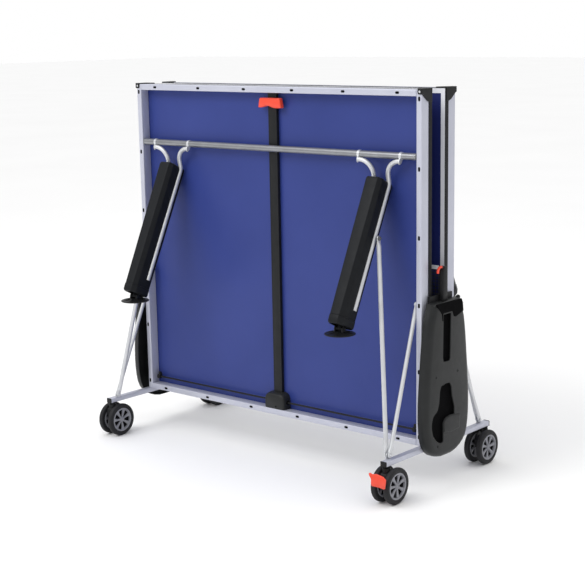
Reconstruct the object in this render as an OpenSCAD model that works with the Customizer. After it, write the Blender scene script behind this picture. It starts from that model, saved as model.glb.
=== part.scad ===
// Folding indoor table-tennis table, drawn folded upright for storage.
// X runs along the net, Y across the two halves (front half towards -Y), Z up.
// The origin is on the floor, at the middle of the chassis. Millimetres.
// The rear half and the left-hand chassis parts are half-turn copies about Z.

/* [Table halves] */
// Width of the playing surface, along the net
table_w = 1525; // [1400:1:1600]
// Length of one half, from the net to the end line
half_l = 1370; // [1300:1:1400]
// Thickness of the playing board
board_t = 22; // [16:1:25]
// Depth of the steel apron below the board
apron_h = 45; // [38:1:48]
// Width of the apron rails
apron_w = 25; // [20:1:27]
// Gap between the folded playing surfaces
fold_gap = 86; // [84:1:100]
// Height of the net edge above the floor when folded
edge_z = 172; // [172:1:180]

/* [Chassis and castors] */
// Wheel diameter of the castors
wheel_d = 144; // [138:1:146]
// Width of one tyre
tyre_w = 22; // [18:1:24]
// Clear gap between the two wheels of a castor
wheel_gap = 36; // [36:1:40]
// Distance of each castor swivel from the net line
stem_y = 335; // [325:1:345]
// Trail of the wheel axle behind the swivel
trail = 20; // [14:1:24]
// Width of the lower cross tubes
tube_w = 28; // [26:1:30]
// Height of the lower cross tubes
tube_h = 20; // [18:1:20]

/* [Legs] */
// Distance of the leg crossbar from the net edge
bar_u = 1121; // [1080:1:1140]
// Diameter of the crossbar
bar_d = 27; // [26:1:32]
// Distance of each leg from the middle of the table
leg_x = 562; // [520:1:570]
// Lean of the stored leg from vertical
leg_lean = 26; // [24:0.5:28]
// Distance from crossbar to foot joint, along the leg
leg_reach = 683.5; // [670:0.5:700]
// Diameter of the leg tubes
leg_tube_d = 18; // [16:1:20]
// Diameter of the foot pad
pad_d = 120; // [100:1:125]

/* [Net] */
// Height of the net mesh
net_h = 150; // [140:1:153]
// Height of the top of the net above the floor when folded
net_top = 870; // [860:1:875]

/* [Hidden] */
$fn = 48;
fit = 0.06;                          // radial clearance of a running pin
surface_y = fold_gap / 2;            // playing surface from the centre plane
half_w = table_w / 2;
apron_v = board_t + apron_h;         // outer face of the apron below the surface
rail_in = half_w - apron_w;          // inner face of the side rails
tube_z = edge_z - 0.5 - tube_h;      // underside of the lower cross tubes
tube_end = stem_y + 17;              // half length of the lower cross tubes
bar_v = 55;                          // crossbar below the playing surface
play_z = 760;                        // height of the playing surface in use
play_gap = 2;                        // half of the gap between the open halves
guide_v = 11;                        // roller pin below the playing surface
guide_u = surface_y + guide_v - play_gap;
roller_r = 7;
track_x = half_w + 4.5;              // inner face of the guide track
track_t = 10;
shell_x = track_x + track_t;         // open back of the side shell
shell_d = 41;                        // depth of the side shell
tube_x = shell_x - 0.5 - tube_w / 2; // middle of the lower cross tubes
upright_x = shell_x + 10;            // middle of the upright inside the shell
upright_top = 700;
strut_y = 308;                       // lower strut joint on the chassis
strut_z = 184;
strut_v = 45;                        // upper strut joint below the surface
strut_r = 8;
strut_x = half_w - 38;                // its upper end
strut_low_x = half_w - 5;            // and its lower end, above the tube
rod_y = 312;                         // lower end of the leg stay rods
rod_z = 184;
rod_r = 9;
rod_low_x = half_w - 18;
rod_top_x = leg_x + 54;
rod_a = 314;                         // stay joint along the leg
tube_b = 57;                         // leg tubes behind the crossbar plane
tube_off = 34;                       // leg tubes either side of the leg
foot_b = 45;                         // foot joint behind the crossbar plane
pad_drop = 22;                       // foot joint above the underside of the pad
stem_r = 5;
axle_r = 5;
rim_r = 52.5;
wheel_r = wheel_d / 2;

// The upper strut joint lies where the strut is equally long, folded and in use.
sa = strut_y - surface_y - strut_v;
sb = edge_z - strut_z;
sd = strut_y - play_gap;
se = play_z - strut_v - strut_z;
strut_u = (sd * sd + se * se - sa * sa - sb * sb) / (2 * (sb + sd));

plug_pitch = 260;                    // spacing of the apron plugs
plug_first = 36;                     // first side plug from the net edge

// ---- helpers -----------------------------------------------------------

// Half-turn copy about the vertical axis
module turned() rotate([0, 0, 180]) children();

// The children and their half-turn copy
module both_ends() {
  children();
  turned() children();
}

// The children and their mirror image in X
module left_and_right() {
  children();
  mirror([1, 0, 0]) children();
}

// Frame of a half: Z from the net edge, -Y down from the playing surface
module on_half() translate([0, -surface_y, edge_z]) children();

// Frame of a stored leg: -Z along the leg from the crossbar, +Y to the board
module on_leg()
  on_half() translate([0, -bar_v, bar_u]) rotate([-leg_lean, 0, 0]) children();

// Cylinder along X, centred on the origin
module pin_x(r, l) rotate([0, 90, 0]) cylinder(r = r, h = l, center = true);

// Round rod between two points
module rod(p, q, r) {
  d = q - p;
  translate(p)
    rotate([0, acos(d.z / norm(d)), atan2(d.y, d.x)])
      cylinder(r = r, h = norm(d));
}

// Point at fraction t of the way from p to q
function along(p, q, t) = p + t * (q - p);

// Places in the stored position, for the right-hand side
function leg_point(x, a, b) = [
  x,
  -surface_y - bar_v - a * sin(leg_lean) + b * cos(leg_lean),
  edge_z + bar_u - a * cos(leg_lean) - b * sin(leg_lean)
];
strut_top = [strut_x, -surface_y - strut_v, edge_z + strut_u];
strut_low = [strut_low_x, -strut_y, strut_z];
rod_top = leg_point(rod_top_x, rod_a, tube_b);
rod_low = [rod_low_x, -rod_y, rod_z];

// ---- chassis -----------------------------------------------------------

module cross_tubes() color("gainsboro") both_ends() {
  wall = 2;
  difference() {
    translate([tube_x - tube_w / 2, -tube_end, tube_z])
      cube([tube_w, 2 * tube_end, tube_h]);
    translate([tube_x - tube_w / 2 + wall, -tube_end - 1, tube_z + wall])
      cube([tube_w - 2 * wall, 2 * tube_end + 2, tube_h - 2 * wall]);
    for (s = [-1, 1])
      translate([tube_x, s * stem_y, tube_z - 1])
        cylinder(r = stem_r + 2, h = wall + 2);
  }
}

module centre_beam() color("gainsboro") {
  length = 2 * (tube_x - tube_w / 2);
  difference() {
    translate([-length / 2, -20, tube_z]) cube([length, 40, tube_h - 2]);
    translate([-length / 2 - 1, -18, tube_z + 2]) cube([length + 2, 36, tube_h - 6]);
  }
}

// Plug in each tube end that holds the bush of the castor stem
module tube_end_caps() color("dimgray") both_ends() for (s = [-1, 1]) {
  wall = 2.2;
  difference() {
    union() {
      translate([tube_x - tube_w / 2 + wall, s * (tube_end - 17) - 17, tube_z + wall])
        cube([tube_w - 2 * wall, 34, tube_h - 2 * wall]);
      translate([tube_x - tube_w / 2, s * (tube_end + 2) - 2, tube_z - 2])
        cube([tube_w, 4, tube_h + 3]);
    }
    translate([tube_x, s * stem_y, tube_z])
      cylinder(r = stem_r + fit, h = tube_h - 4);
  }
}

// Plates on the cross tubes, between the lower ends of a strut and a stay rod
module stay_brackets() color("gainsboro") both_ends() for (s = [-1, 1])
  translate([(strut_low_x + rod_low_x) / 2 - 1.2, s * (strut_y + 2), 0]) {
    translate([0, -15, tube_z + tube_h]) cube([2.4, 30, strut_z - tube_z - tube_h]);
    translate([1.2, 0, strut_z]) pin_x(12, 2.4);
  }

// Slotted plates that guide the roller of each half
module guide_tracks() color("dimgray") both_ends() difference() {
  low = edge_z + guide_u - 30;
  translate([track_x, -75, low]) cube([track_t, 150, play_z - low]);
  for (s = [-1, 1])
    translate([track_x - 1, s * (surface_y + guide_v) - roller_r - 0.5,
               edge_z + guide_u - roller_r - 1])
      cube([track_t - 2, 2 * roller_r + 1,
            play_z - guide_v - edge_z - guide_u + 2 * roller_r + 2]);
  translate([track_x - 1, -5, net_top - net_h - 12]) cube([track_t + 2, 10, 100]);
}

// Uprights inside the shells, with the socket of the net post
module uprights() color("gainsboro") both_ends() difference() {
  union() {
    translate([shell_x, -20, tube_z]) cube([20, 40, upright_top - tube_z]);
    translate([shell_x - 0.5, -20, tube_z]) cube([0.5, 40, tube_h]);
  }
  translate([upright_x, 0, upright_top - 100]) cylinder(r = 6 + fit, h = 101);
}

// ---- side shells -------------------------------------------------------

shell_low = 117;
shell_mid = 310;
shell_top = 738;
shell_half = 156;

// Half width of the shell's lower, rounded part at height z
function round_half(z, half, low) =
  half * pow(1 - pow((shell_mid - z) / (shell_mid - low), 3), 1 / 3);

// Outline of the shell seen from the side, drawn in by an inset
module shell_outline(inset) {
  half = shell_half - inset;
  low = shell_low + inset;
  steps = 9;
  curve = [for (i = [0:steps])
    let (z = shell_mid - (shell_mid - low) * sin(90 * i / steps))
    [round_half(z, half, low), z]];
  side = [[half - 35, 662 - inset / 2], [half - 58, shell_top - inset],
          [-half + 58, shell_top - inset], [-half + 35, 662 - inset / 2]];
  left = [for (i = [0:steps - 1]) [-curve[i].x, curve[i].y]];
  right = [for (i = [0:steps]) curve[steps - i]];
  polygon(concat(left, right, side));
}

// Slab of the shell outline between two depths from its open back
module shell_slab(from, to, inset)
  translate([shell_x + from, 0, 0])
    rotate([90, 0, 90]) linear_extrude(to - from) shell_outline(inset);

// Bat and ball holder on the outside of the chassis
module side_shell() difference() {
  floor_x = shell_x + 22;
  lip_x = shell_x + shell_d - 6;
  union() {
    difference() {
      union() {
        shell_slab(0, 22, 0);
        shell_slab(22, 34, 7);
        shell_slab(34, shell_d, 16);
      }
      shell_slab(-1, 18, 4);
      shell_slab(17, shell_d - 4, 24);
    }
    // tray behind the bat pocket and the ball slot
    translate([floor_x, -105, 165]) cube([shell_d - 26, 165, 255]);
    translate([floor_x, -50, 495]) cube([shell_d - 26, 75, 200]);
    for (y = [-60, 60])
      translate([shell_x, y, 470]) rotate([0, 90, 0]) cylinder(r = 8, h = shell_d - 3);
  }
  translate([floor_x + 3, -42, 300]) cube([30, 67, 110]);
  translate([floor_x + 3, -95, 185]) cube([lip_x - floor_x - 3, 145, 135]);
  translate([lip_x - 1, -95, 185]) cube([20, 67, 135]);
  translate([lip_x - 1, -95, 274]) cube([20, 145, 46]);
  translate([floor_x + 3, -40, 505]) cube([30, 54, 180]);
  // way out for the net post
  translate([shell_x - 1, -18, upright_top - 2]) cube([32, 36, 60]);
}

module right_shell() color("#33363a") side_shell();
module left_shell() color("#33363a") turned() side_shell();

// ---- net ---------------------------------------------------------------

post_top = net_top + 2;

lever_pin = [upright_x + 3, -21, post_top - 2];

module net_posts() color("#2c2e31") {
  both_ends() {
    difference() {
      translate([upright_x - 10, -15, upright_top + 0.5])
        cube([21, 30, post_top - upright_top]);
      // recess for the clamp of the net cord
      translate([upright_x - 11, -8, net_top - 42]) cube([9, 16, 60]);
    }
    translate([upright_x, 0, upright_top - 55]) cylinder(r = 6, h = 60);
  }
  // ear and pin of the tension lever
  translate(lever_pin) pin_x(1.5, 14);
  translate(lever_pin + [-7.5, -3.5, -5]) cube([3, 10, 9]);
}

module net_mesh() color("#1c1d20")
  translate([-upright_x + 10, -0.6, net_top - net_h])
    cube([2 * upright_x - 20, 1.2, net_h - 15.2]);

module net_tape() color("whitesmoke")
  translate([-upright_x + 10, -1.2, net_top - 15])
    cube([2 * upright_x - 20, 2.4, 15]);

// Curved lever on the right post that tightens the net cord
module net_tension_lever() color("orangered") difference() {
  union() {
    translate([upright_x - 1, -24, post_top - 20]) rotate([90, 0, 90])
      linear_extrude(10) difference() {
        circle(r = 22);
        circle(r = 14);
        translate([0, -30]) square([30, 60]);
        translate([-30, -30]) square([60, 20]);
      }
    translate(lever_pin + [1, 0, 0]) pin_x(4.5, 10);
  }
  translate(lever_pin) pin_x(1.5 + fit, 20);
}

// ---- castors -----------------------------------------------------------

axle_z = wheel_r;
wheel_in = wheel_gap / 2;
wheel_out = wheel_in + tyre_w;

// Places a castor drawn with its swivel on Z and its axle at +Y
module castor_at(side, end) {
  if (end > 0) translate([side * tube_x, stem_y, 0]) rotate([0, 0, 180]) children();
  else translate([side * tube_x, -stem_y, 0]) children();
}

module castor_fork() color("#222427") difference() {
  union() {
    translate([0, 0, 112]) cylinder(r = 16.5, h = tube_z - 4 - 112);
    cylinder_top = tube_z + tube_h - 5;
    translate([0, 0, 112]) cylinder(r = stem_r, h = cylinder_top - 112);
    translate([-13, -14, 88]) cube([26, 44, 26]);
    translate([0, trail, axle_z]) pin_x(22, 30);
    translate([0, trail, axle_z]) pin_x(13, wheel_gap - 2);
  }
  translate([0, trail, axle_z]) pin_x(axle_r + fit, 80);
}

module tyres() color("#2b2c2e") for (s = [-1, 1])
  translate([s * (wheel_in + tyre_w / 2), trail, axle_z])
    rotate([0, 90, 0]) rotate_extrude()
      difference() {
        translate([rim_r + 0.1, -tyre_w / 2]) square([wheel_r - rim_r - 0.1, tyre_w]);
        for (t = [-1, 1])
          translate([wheel_r, t * tyre_w / 2]) rotate([0, 0, 45]) square(7, center = true);
      }

// Spoked rims and the axle that joins them
module rims() color("#8b8d91") {
  for (s = [-1, 1])
    translate([s * (wheel_in + tyre_w / 2), trail, axle_z]) rotate([0, 90, 0])
      difference() {
        cylinder(r = rim_r, h = tyre_w - 4, center = true);
        for (t = [-1, 1]) translate([0, 0, t * tyre_w / 2 - (t < 0 ? 1 : 5)])
          cylinder(r = rim_r - 6, h = 6);
        for (i = [0:6]) rotate([0, 0, i * 360 / 7])
          linear_extrude(60, center = true)
            polygon([[16, -2], [rim_r - 9, -17], [rim_r - 5, 0], [rim_r - 9, 17], [16, 2]]);
      }
  translate([0, trail, axle_z]) pin_x(axle_r, 2 * wheel_out - 4);
}

brake_y = -30;                       // brake pivot ahead of the swivel
brake_z = 106;

// Foot pedal in front of the wheels that locks a castor
module brake_pedal() color("orangered") {
  translate([-14, -70, 84]) cube([69, 5, 54]);
  difference() {
    union() {
      translate([0, brake_y, brake_z]) pin_x(7, 20);
      translate([-10, -68, brake_z + 2]) cube([20, 38, 5]);
    }
    translate([0, brake_y, brake_z]) pin_x(3 + fit, 40);
  }
}

// Fork with the ears and the pin that the pedal turns on
module braked_fork() {
  castor_fork();
  color("#222427") {
    translate([0, brake_y, brake_z]) pin_x(3, 32);
    for (s = [-1, 1])
      translate([s * 14 - 2, brake_y - 6, brake_z - 7]) cube([4, 24, 14]);
  }
}

// ---- one half of the table, drawn as the front half --------------------

// Holes in the board's edges for the pivots of the guide rollers
module pivot_holes() left_and_right()
  translate([half_w, -guide_v, guide_u]) pin_x(4 + fit, 34);

module board() color("#39479a") on_half() difference() {
  translate([-half_w + 1, -board_t, 1]) cube([table_w - 2, board_t, half_l - 2]);
  pivot_holes();
}

module edge_band() color("#17181a") on_half() difference() {
  for (s = [0, 1]) {
    translate([-half_w + s * (table_w - 1), -board_t, 0]) cube([1, board_t, half_l]);
    translate([-half_w + 1.2, -board_t, s * (half_l - 1)])
      cube([table_w - 2.4, board_t, 1]);
  }
  pivot_holes();
}

// Box-section rail of the apron, hollow along one axis
module rail(size, hollow) {
  wall = 1.5;
  inset = [for (h = hollow) h ? -1 : wall];
  difference() {
    cube(size);
    translate(inset) cube(size - 2 * inset);
  }
}

module side_rails() color("#c3c4d0") on_half() left_and_right() difference() {
  translate([rail_in, -apron_v, 0]) rail([apron_w, apron_h, half_l], [false, false, true]);
  translate([rail_in, -bar_v, bar_u]) pin_x(6 + fit, 10);
  translate([rail_in, -strut_v, strut_u]) pin_x(5 + fit, 10);
}

module end_rails() color("#c3c4d0") on_half() for (u = [0, half_l - apron_w])
  translate([-rail_in + 0.3, -apron_v, u])
    rail([2 * rail_in - 0.6, apron_h, apron_w], [true, false, false]);

// Rubber bumpers that wrap the two outer corners, deepest beside the board
module corner_caps() color("#17181a") on_half() left_and_right() {
  reach = 48;
  skin = 5;
  patch = 18;                        // what shows of them on the flange
  slope = [[-apron_v - skin - 1, -1], [-board_t, -1],
           [-apron_v, reach - patch], [-apron_v - skin - 1, reach - patch]];
  difference() {
    translate([half_w - reach, -apron_v - skin, half_l - reach])
      cube([reach + skin, apron_v + skin - 2, reach + skin]);
    translate([half_w - reach - 1, -apron_v, half_l - reach - 1])
      cube([reach + 1, apron_v + 9, reach + 1]);
    translate([half_w - reach - 1, 0, half_l - reach]) rotate([90, 0, 90])
      linear_extrude(reach + skin + 2) polygon(slope);
    translate([half_w - reach, 0, half_l - reach - 1])
      linear_extrude(reach + skin + 2) polygon([for (p = slope) [p.y, p.x]]);
  }
}

// Channel under the board that hides the release cable
module centre_channel() color("#17181a") on_half() difference() {
  translate([-22, -38, 95]) cube([44, 16, half_l - apron_w - 96]);
  translate([-19, -35, 94]) cube([38, 14, half_l]);
}

module lock_box() color("#17181a") on_half() difference() {
  translate([-55, -apron_v + 1, apron_w + 1]) cube([110, apron_h - 1, 68]);
  translate([0, -42, 55]) pin_x(4.5, 120);
  translate([-48, -apron_v + 4, apron_w + 8]) cube([96, apron_h - 5, 54]);
}

// Push-in plugs along the apron flange
module apron_plugs() color("#17181a") on_half() {
  for (k = [0:5], s = [-1, 1])
    translate([s * (half_w - 11.5), -apron_v, plug_first + k * plug_pitch])
      rotate([90, 0, 0]) cylinder(r = 5, h = 1.2);
  for (k = [-2.5:1:2.5], u = [12.5, half_l - 12.5])
    translate([k * plug_pitch, -apron_v, u]) rotate([90, 0, 0]) cylinder(r = 5, h = 1.2);
}

// Pull handle that frees both latches, on the centre channel
module release_handle() color("orangered") on_half()
  translate([0, -39 + 0.5, half_l - 88]) rotate([90, 0, 0]) difference() {
    linear_extrude(20) difference() {
      polygon([[-54, 41], [54, 41], [62, 0], [-62, 0]]);
      translate([0, -26]) circle(r = 36);
    }
    translate([-46, 22, -1]) cube([92, 13, 15]);
  }

// Turning rod with a hook at each end that holds the half in its position
module latch_rod() color("#24262a") on_half() {
  length = 2 * rail_in - 20;
  translate([0, -42, 55]) pin_x(4, length);
  for (s = [-1, 1]) translate([s * (length / 2 - 6), -42, 55]) {
    pin_x(11, 10);
    translate([-5, -11, 0]) cube([10, 11, 22]);
  }
}

// Roller and its plate on the net edge of the half
module guide_rollers() color("#3a3c40") on_half() left_and_right() {
  translate([half_w + 0.5, -guide_v - 12, guide_u - 14]) cube([3, 24, 38]);
  translate([half_w + 7, -guide_v, guide_u]) pin_x(roller_r, 8);
  translate([half_w - 6, -guide_v, guide_u]) pin_x(4, 16);
}

module struts() color("#e4e6ea") left_and_right() {
  eye_w = 6;
  for (p = [strut_top, strut_low]) translate(p) pin_x(10, eye_w);
  rod(along(strut_low, strut_top, 0.01), along(strut_low, strut_top, 0.99), eye_w / 2 - 0.3);
  rod(along(strut_low, strut_top, 0.07), along(strut_low, strut_top, 0.94), strut_r);
  // pin in the side rail
  translate(strut_top + [8, 0, 0]) pin_x(5, 16);
  // stub bolt beside the chassis bracket
  translate(strut_low - [3, 0, 0]) pin_x(5, 3);
}

// ---- legs, turning about the crossbar ----------------------------------

module crossbar() color("#dfe1e6") on_half() translate([0, -bar_v, bar_u]) {
  pin_x(bar_d / 2, 2 * rail_in - 6);
  pin_x(6, 2 * rail_in + 4);
  // tabs that the leg tubes are fixed to
  for (s = [-1, 1], t = [-1, 1])
    translate([s * leg_x + t * (tube_off + bend_r + 6) - 1.5, 0, 0])
    rotate([-leg_lean, 0, 0]) translate([0, -9, -36]) cube([3, 18, 24]);
}

bend_r = 60;                         // bend of a leg tube below the crossbar
bend_tilt = 38;                      // tilt of that bend towards the board
bend_a = bar_d / 2 + leg_tube_d / 2 + 0.4;
straight = (tube_b - bend_r * sin(bend_tilt)) / sin(bend_tilt);
kink_a = bend_a + (bend_r + straight) * cos(bend_tilt);
tube_low_a = 605;

// One bent tube of a leg, from the crossbar to the lower collar
module leg_tube() {
  r = leg_tube_d / 2;
  translate([tube_off, 0, -bend_a]) rotate([bend_tilt, 0, 0]) {
    translate([bend_r, 0, -bend_r]) rotate([90, 0, 180])
      rotate_extrude(angle = 90) translate([bend_r, 0]) circle(r = r);
    translate([bend_r + 2.2, 0, 0]) pin_x(r, 4.4);
    translate([0, 0, -bend_r - straight]) cylinder(r = r, h = straight);
  }
  translate([tube_off, tube_b, -kink_a]) sphere(r = r);
  translate([tube_off, tube_b, -tube_low_a]) cylinder(r = r, h = tube_low_a - kink_a);
}

module leg_tubes() color("#e4e6ea") left_and_right() {
  on_leg() translate([leg_x, 0, 0]) left_and_right() leg_tube();
  translate(leg_point(leg_x + tube_off + 17, rod_a, tube_b)) pin_x(4, 20);
}

// Cross-section of the leg cover: a bevelled front and a round back
module cover_section(grow = 0) {
  w = 39 + grow;
  polygon([[-w + 12, -14 - grow], [w - 12, -14 - grow], [w, 6], [w - 3, 44], [w - 4, 70],
           [w - 5, 80], [w - 14, 90 + grow], [-w + 14, 90 + grow], [-w + 5, 80],
           [-w + 4, 70], [-w + 3, 44], [-w, 6]]);
}

cover_top = 90;
cover_seam = 642;
cover_low = 676;

module leg_covers() color("#2e3034") left_and_right()
  on_leg() translate([leg_x, 0, 0]) {
    difference() {
      union() {
        translate([0, 0, -cover_seam]) linear_extrude(cover_seam - cover_top) cover_section();
        translate([0, 0, -cover_low]) linear_extrude(cover_low - cover_seam + 2) cover_section(1.5);
      }
      // flat at the top that clears the board
      rotate([leg_lean, 0, 0]) translate([-60, bar_v - board_t - 4, -240]) cube([120, 60, 200]);
      // room for the lugs of the foot
      translate([-25, foot_b - 20, -cover_low - 1]) cube([50, 40, 13]);
      // grooves for the tubes
      for (s = [-1, 1]) translate([s * tube_off, tube_b, -kink_a]) {
        groove_r = leg_tube_d / 2 + 0.3;
        translate([0, 0, kink_a - tube_low_a - 1])
          cylinder(r = groove_r, h = tube_low_a - kink_a + 1);
        sphere(r = groove_r);
        rotate([bend_tilt, 0, 0]) cylinder(r = groove_r, h = 30);
      }
    }
    // neck and pin of the foot
    translate([0, foot_b, -leg_reach]) {
      cylinder(r = 11, h = leg_reach - cover_low + 13);
      pin_x(8, 46);
    }
  }

foot = leg_point(0, leg_reach, foot_b);

// Swivelling foot pads, level on the floor in use
module feet() color("#26282b") left_and_right()
  translate([leg_x, foot.y, foot.z - pad_drop]) {
    cylinder(r1 = pad_d / 2, r2 = pad_d / 2 - 2, h = 5);
    for (s = [-1, 1]) difference() {
      translate([s * 18 - 3, -11, 3]) cube([6, 22, 30]);
      translate([0, 0, pad_drop]) pin_x(8 + fit, 60);
    }
  }

module stay_rods() color("#e4e6ea") left_and_right() {
  eye_w = 6;
  difference() {
    translate(rod_top) pin_x(10, eye_w);
    translate(rod_top) pin_x(4 + fit, 20);
  }
  translate(rod_low) pin_x(10, eye_w);
  rod(along(rod_low, rod_top, 0.01), along(rod_low, rod_top, 0.988), eye_w / 2 - 0.3);
  rod(along(rod_low, rod_top, 0.05), along(rod_low, rod_top, 0.975), rod_r);
  translate(rod_low + [3, 0, 0]) pin_x(5, 3);
}

// ---- whole table -------------------------------------------------------

cross_tubes();
centre_beam();
tube_end_caps();
stay_brackets();
guide_tracks();
uprights();
right_shell();
left_shell();
net_posts();
net_mesh();
net_tape();
net_tension_lever();
castor_at(1, -1) braked_fork();  // castor_fork_front_right
castor_at(-1, -1) castor_fork();  // castor_fork_front_left
castor_at(1, 1) castor_fork();  // castor_fork_rear_right
castor_at(-1, 1) braked_fork();  // castor_fork_rear_left
castor_at(1, -1) tyres();  // tyres_front_right
castor_at(-1, -1) tyres();  // tyres_front_left
castor_at(1, 1) tyres();  // tyres_rear_right
castor_at(-1, 1) tyres();  // tyres_rear_left
castor_at(1, -1) rims();  // rims_front_right
castor_at(-1, -1) rims();  // rims_front_left
castor_at(1, 1) rims();  // rims_rear_right
castor_at(-1, 1) rims();  // rims_rear_left
castor_at(1, -1) brake_pedal();  // brake_pedal_front
castor_at(-1, 1) brake_pedal();  // brake_pedal_rear
board();  // front_board
edge_band();  // front_edge_band
side_rails();  // front_side_rails
end_rails();  // front_end_rails
corner_caps();  // front_corner_caps
centre_channel();  // front_centre_channel
lock_box();  // front_lock_box
apron_plugs();  // front_apron_plugs
release_handle();  // front_release_handle
latch_rod();  // front_latch_rod
guide_rollers();  // front_guide_rollers
struts();  // front_struts
crossbar();  // front_crossbar
leg_tubes();  // front_leg_tubes
leg_covers();  // front_leg_covers
stay_rods();  // front_stay_rods
feet();  // front_feet
turned() board();  // rear_board
turned() edge_band();  // rear_edge_band
turned() side_rails();  // rear_side_rails
turned() end_rails();  // rear_end_rails
turned() corner_caps();  // rear_corner_caps
turned() centre_channel();  // rear_centre_channel
turned() lock_box();  // rear_lock_box
turned() apron_plugs();  // rear_apron_plugs
turned() release_handle();  // rear_release_handle
turned() latch_rod();  // rear_latch_rod
turned() guide_rollers();  // rear_guide_rollers
turned() struts();  // rear_struts
turned() crossbar();  // rear_crossbar
turned() leg_tubes();  // rear_leg_tubes
turned() leg_covers();  // rear_leg_covers
turned() stay_rods();  // rear_stay_rods
turned() feet();  // rear_feet
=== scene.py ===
"""Folding table-tennis table, folded upright for storage: looks, stage and camera."""

import math

import bmesh
import bpy
from mathutils import Matrix, Vector, noise


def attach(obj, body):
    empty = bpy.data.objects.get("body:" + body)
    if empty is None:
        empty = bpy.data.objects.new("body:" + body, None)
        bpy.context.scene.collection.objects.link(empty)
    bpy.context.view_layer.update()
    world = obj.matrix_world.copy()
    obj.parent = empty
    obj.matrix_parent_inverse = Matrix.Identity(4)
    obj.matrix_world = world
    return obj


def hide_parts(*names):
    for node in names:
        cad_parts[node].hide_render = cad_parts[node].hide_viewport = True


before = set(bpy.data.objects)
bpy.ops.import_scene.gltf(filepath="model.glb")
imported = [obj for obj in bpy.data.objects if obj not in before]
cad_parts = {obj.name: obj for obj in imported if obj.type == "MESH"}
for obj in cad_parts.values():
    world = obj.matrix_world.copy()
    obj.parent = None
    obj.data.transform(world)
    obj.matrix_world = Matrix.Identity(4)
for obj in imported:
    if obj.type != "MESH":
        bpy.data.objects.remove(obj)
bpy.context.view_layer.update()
SCENE = bpy.context.scene
sin, cos, pi = math.sin, math.cos, math.pi

# ---- places that the CAD gives, in metres ----

SURFACE_Y, EDGE_Z = 0.043, 0.172
HALF_W, HALF_L = 0.7625, 1.370
BOARD_T, APRON_V, APRON_W = 0.022, 0.067, 0.025
TUBE_X, TUBE_Z, TUBE_END = 0.7625, 0.1515, 0.352
BAR_Y, BAR_Z = -0.098, 1.293
LEAN = math.radians(26)
LEG_X = 0.562
LATCH_V, LATCH_U = 0.042, 0.055
CASTOR_Y = 0.335
FOOT_A, FOOT_B = 0.6835, 0.045


ACROSS, UP = (1, 0, 0), (0, 0, 1)


def on_half(x, v, u):
    """Point of the front half: across, below the playing surface, up from the net edge."""
    return Vector((x, -SURFACE_Y - v, EDGE_Z + u))


def on_leg(x, a, b):
    """Point of a leg: across, down from the crossbar, and towards the board."""
    return Vector((x, BAR_Y - a * sin(LEAN) + b * cos(LEAN), BAR_Z - a * cos(LEAN) - b * sin(LEAN)))


# ---- camera, light and floor ----


def make_camera():
    yaw, pitch, roll = (math.radians(a) for a in (40.283, 12.067, -0.936))
    ahead = Vector((-sin(yaw) * cos(pitch), cos(yaw) * cos(pitch), -sin(pitch)))
    right = Vector((cos(yaw), sin(yaw), 0))
    up = right.cross(ahead)
    right, up = right * cos(roll) + up * sin(roll), up * cos(roll) - right * sin(roll)
    data = bpy.data.cameras.new("camera")
    data.sensor_width, data.lens = 36, 85.7
    data.shift_x, data.shift_y = -0.0214, 0.0537
    data.clip_end = 200
    camera = bpy.data.objects.new("camera", data)
    camera.matrix_world = Matrix.Translation((3.7825, -4.36, 1.7777)) @ Matrix(
        (right, up, -ahead)
    ).transposed().to_4x4()
    SCENE.collection.objects.link(camera)
    SCENE.camera = camera


def area_light(name, place, target, size, watts):
    data = bpy.data.lights.new(name, "AREA")
    data.shape, data.size, data.size_y, data.energy = "RECTANGLE", size[0], size[1], watts
    light = bpy.data.objects.new(name, data)
    light.location = place
    light.rotation_euler = (Vector(target) - Vector(place)).to_track_quat("-Z", "Y").to_euler()
    SCENE.collection.objects.link(light)


def make_stage():
    world = bpy.data.worlds.new("studio")
    SCENE.world = world
    world.use_nodes = True
    tree = world.node_tree
    background = tree.nodes["Background"]
    background.inputs[0].default_value = (1, 1, 1, 1)
    # white backdrop for the camera; as a light it is brightest overhead
    split = tree.nodes.new("ShaderNodeSeparateXYZ")
    tree.links.new(tree.nodes.new("ShaderNodeTexCoord").outputs["Generated"], split.inputs[0])
    rise = tree.nodes.new("ShaderNodeMapRange")
    for socket, number in zip(rise.inputs[1:5], (0.0, 1.0, 0.36, 1.32)):
        socket.default_value = number
    tree.links.new(split.outputs["Z"], rise.inputs[0])
    pick = tree.nodes.new("ShaderNodeMix")
    pick.inputs[3].default_value = 1.0
    tree.links.new(tree.nodes.new("ShaderNodeLightPath").outputs["Is Camera Ray"], pick.inputs[0])
    tree.links.new(rise.outputs[0], pick.inputs[2])
    tree.links.new(pick.outputs[0], background.inputs[1])
    SCENE.view_settings.view_transform = "Standard"
    SCENE.view_settings.look = "None"
    area_light("key", (-1.5, -4.5, 5.0), (0, 0, 0.7), (3.5, 3.0), 165)
    area_light("fill", (5.0, -0.5, 2.6), (0, 0, 0.7), (3.0, 3.0), 5)
    mesh = bpy.data.meshes.new("floor")
    mesh.from_pydata([(-60, -60, 0), (60, -60, 0), (60, 60, 0), (-60, 60, 0)], [], [(0, 1, 2, 3)])
    floor = bpy.data.objects.new("floor", mesh)
    SCENE.collection.objects.link(floor)
    mesh.materials.append(material("floor", (0.97, 0.97, 0.97), 0.8, spec=0.2, vary=0.01, scale=0.7))


# ---- materials ----


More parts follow.
